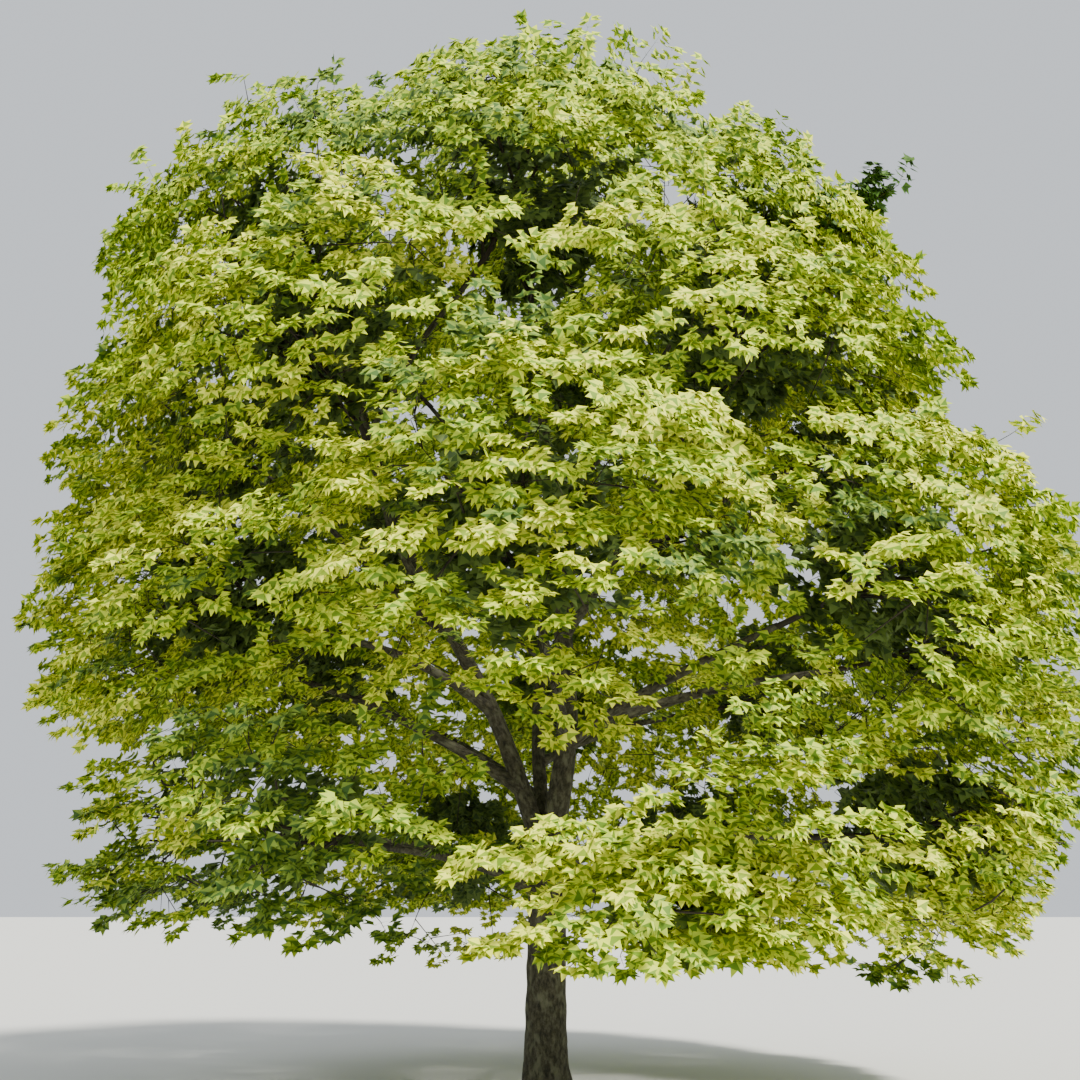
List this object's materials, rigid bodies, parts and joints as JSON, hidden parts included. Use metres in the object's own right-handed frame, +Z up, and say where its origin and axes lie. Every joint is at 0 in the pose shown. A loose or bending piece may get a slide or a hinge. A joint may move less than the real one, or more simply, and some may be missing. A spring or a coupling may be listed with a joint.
{
  "type": "norway maple tree",
  "caption": "Variegated Norway maple in full summer leaf: a short trunk, a low fork, tiered boughs and a broad domed head, flat at the foot to stand on the ground.",
  "frame": {"origin": "centre of the flat cut under the trunk, at ground level", "axes": "+Z up along the trunk; the side seen in the picture faces -Y, and +X is to its right"},
  "size_m": [9.0955, 9.0287, 8.9665],
  "materials": {
    "bark": "rough, finely ridged grey-brown bark",
    "foliage": "satin, mid-green leaves with broad cream-yellow margins"
  },
  "bodies": {
    "root": {"lower_bough_1": "bark", "lower_bough_2": "bark", "lower_bough_3": "bark", "lower_bough_4": "bark", "lower_bough_5": "bark", "lower_bough_6": "bark", "lower_bough_7": "bark", "lower_bough_8": "bark", "lower_foliage_1": "foliage", "lower_foliage_2": "foliage", "lower_foliage_3": "foliage", "lower_foliage_4": "foliage", "lower_foliage_5": "foliage", "lower_foliage_6": "foliage", "lower_foliage_7": "foliage", "lower_foliage_8": "foliage", "main_limb_back": "bark", "main_limb_left": "bark", "main_limb_right": "bark", "middle_bough_1": "bark", "middle_bough_2": "bark", "middle_bough_3": "bark", "middle_bough_4": "bark", "middle_bough_5": "bark", "middle_bough_6": "bark", "middle_bough_7": "bark", "middle_bough_8": "bark", "middle_foliage_1": "foliage", "middle_foliage_2": "foliage", "middle_foliage_3": "foliage", "middle_foliage_4": "foliage", "middle_foliage_5": "foliage", "middle_foliage_6": "foliage", "middle_foliage_7": "foliage", "middle_foliage_8": "foliage", "shoulder_bough_1": "bark", "shoulder_bough_2": "bark", "shoulder_bough_3": "bark", "shoulder_bough_4": "bark", "shoulder_bough_5": "bark", "shoulder_bough_6": "bark", "shoulder_foliage_1": "foliage", "shoulder_foliage_2": "foliage", "shoulder_foliage_3": "foliage", "shoulder_foliage_4": "foliage", "shoulder_foliage_5": "foliage", "shoulder_foliage_6": "foliage", "top_foliage": "foliage", "trunk": "bark", "upper_bough_2": "bark", "upper_bough_3": "bark", "upper_bough_4": "bark", "upper_bough_6": "bark", "upper_foliage_1": "foliage", "upper_foliage_2": "foliage", "upper_foliage_3": "foliage", "upper_foliage_4": "foliage", "upper_foliage_5": "foliage", "upper_foliage_6": "foliage"}
  },
  "joints": []
}
